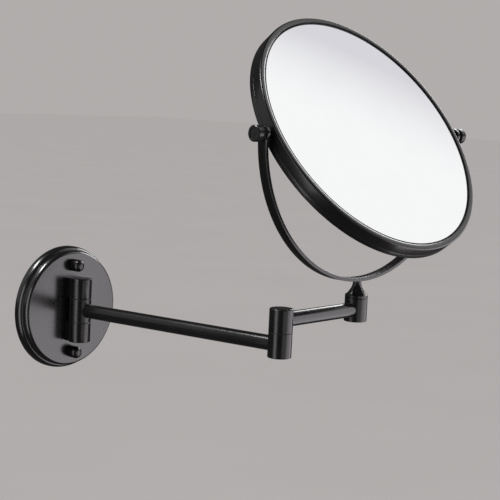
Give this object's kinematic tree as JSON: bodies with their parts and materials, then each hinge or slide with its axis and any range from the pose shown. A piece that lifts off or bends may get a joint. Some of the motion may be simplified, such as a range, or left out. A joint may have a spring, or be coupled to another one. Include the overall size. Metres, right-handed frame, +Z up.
{
  "type": "extendable shaving mirror",
  "caption": "Wall-mounted round shaving mirror on a folding arm that swings, swivels and tilts.",
  "frame": {"origin": "centre of the round wall plate, on the wall surface it screws to", "axes": "+Z up, -Y out of the wall, +X to the right as seen from in front of the wall"},
  "size_m": [0.2743, 0.2746, 0.2822],
  "materials": {
    "wall_bracket": "plated steel",
    "bracket_studs": "plated steel",
    "cover_plate": "satin black paint",
    "cap_nuts": "satin black paint",
    "upper_knuckle": "satin black paint",
    "lower_knuckle": "satin black paint",
    "knuckle_screws": "plated steel",
    "wall_hinge_pin": "plated steel",
    "wall_hinge_washers": "nylon",
    "arm1_knuckle": "satin black paint",
    "arm1_tube": "satin black paint",
    "elbow_lower_barrel": "satin black paint",
    "elbow_plug": "black moulding",
    "elbow_upper_barrel": "satin black paint",
    "elbow_bolt": "plated steel",
    "elbow_wave_washer": "spring steel",
    "elbow_washer": "nylon",
    "arm2_tube": "satin black paint",
    "end_barrel": "satin black paint",
    "end_barrel_plug": "black moulding",
    "swivel_stem": "satin black paint",
    "swivel_wave_washer": "spring steel",
    "swivel_washer": "plated steel",
    "swivel_nut": "plated steel",
    "yoke": "satin black paint",
    "yoke_screw": "satin black paint",
    "frame_ring": "satin black paint",
    "rear_ring": "satin black paint",
    "plain_glass": "silvered glass",
    "magnifying_glass": "silvered glass",
    "front_gasket": "soft black gasket",
    "rear_gasket": "soft black gasket",
    "glass_spacer": "black moulding",
    "pivot_bosses": "plated steel",
    "pivot_collars": "satin black paint",
    "left_knob": "satin black paint",
    "left_knob_washer": "nylon",
    "right_knob": "satin black paint",
    "right_knob_washer": "nylon"
  },
  "bodies": {
    "wall_base": {"wall_bracket": "wall_bracket", "bracket_studs": "bracket_studs", "cover_plate": "cover_plate", "cap_nuts": "cap_nuts", "upper_knuckle": "upper_knuckle", "lower_knuckle": "lower_knuckle", "knuckle_screws": "knuckle_screws", "wall_hinge_pin": "wall_hinge_pin", "wall_hinge_washers": "wall_hinge_washers"},
    "first_arm": {"arm1_knuckle": "arm1_knuckle", "arm1_tube": "arm1_tube", "elbow_lower_barrel": "elbow_lower_barrel", "elbow_plug": "elbow_plug"},
    "second_arm": {"elbow_upper_barrel": "elbow_upper_barrel", "elbow_bolt": "elbow_bolt", "elbow_wave_washer": "elbow_wave_washer", "elbow_washer": "elbow_washer", "arm2_tube": "arm2_tube", "end_barrel": "end_barrel", "end_barrel_plug": "end_barrel_plug"},
    "yoke_swivel": {"swivel_stem": "swivel_stem", "swivel_wave_washer": "swivel_wave_washer", "swivel_washer": "swivel_washer", "swivel_nut": "swivel_nut", "yoke": "yoke", "yoke_screw": "yoke_screw"},
    "mirror_head": {"frame_ring": "frame_ring", "rear_ring": "rear_ring", "plain_glass": "plain_glass", "magnifying_glass": "magnifying_glass", "front_gasket": "front_gasket", "rear_gasket": "rear_gasket", "glass_spacer": "glass_spacer", "pivot_bosses": "pivot_bosses", "pivot_collars": "pivot_collars"},
    "left_knob": {"left_knob": "left_knob", "left_knob_washer": "left_knob_washer"},
    "right_knob": {"right_knob": "right_knob", "right_knob_washer": "right_knob_washer"}
  },
  "joints": [
    {"name": "wall_swing", "type": "hinge", "parent": "wall_base", "child": "first_arm", "pos_m": [0, -0.0206, 0], "axis": [0, 0, 1], "range_deg": [-94.8, 81.2]},
    {"name": "elbow_fold", "type": "hinge", "parent": "first_arm", "child": "second_arm", "pos_m": [0.02217, -0.20648, 0], "axis": [0, 0, 1], "continuous": true},
    {"name": "head_swivel", "type": "hinge", "parent": "second_arm", "child": "yoke_swivel", "pos_m": [0.10825, -0.20814, 0], "axis": [0, 0, 1], "continuous": true},
    {"name": "mirror_tilt", "type": "hinge", "parent": "yoke_swivel", "child": "mirror_head", "pos_m": [0.10825, -0.20814, 0.1485], "axis": [0.9972, -0.075, 0], "continuous": true},
    {"name": "left_knob_turn", "type": "hinge", "parent": "mirror_head", "child": "left_knob", "pos_m": [-0.00543, -0.19959, 0.1485], "axis": [-0.9972, 0.075, 0], "range_deg": [0, 360]},
    {"name": "right_knob_turn", "type": "hinge", "parent": "mirror_head", "child": "right_knob", "pos_m": [0.22193, -0.21668, 0.1485], "axis": [0.9972, -0.075, 0], "range_deg": [0, 360]}
  ]
}
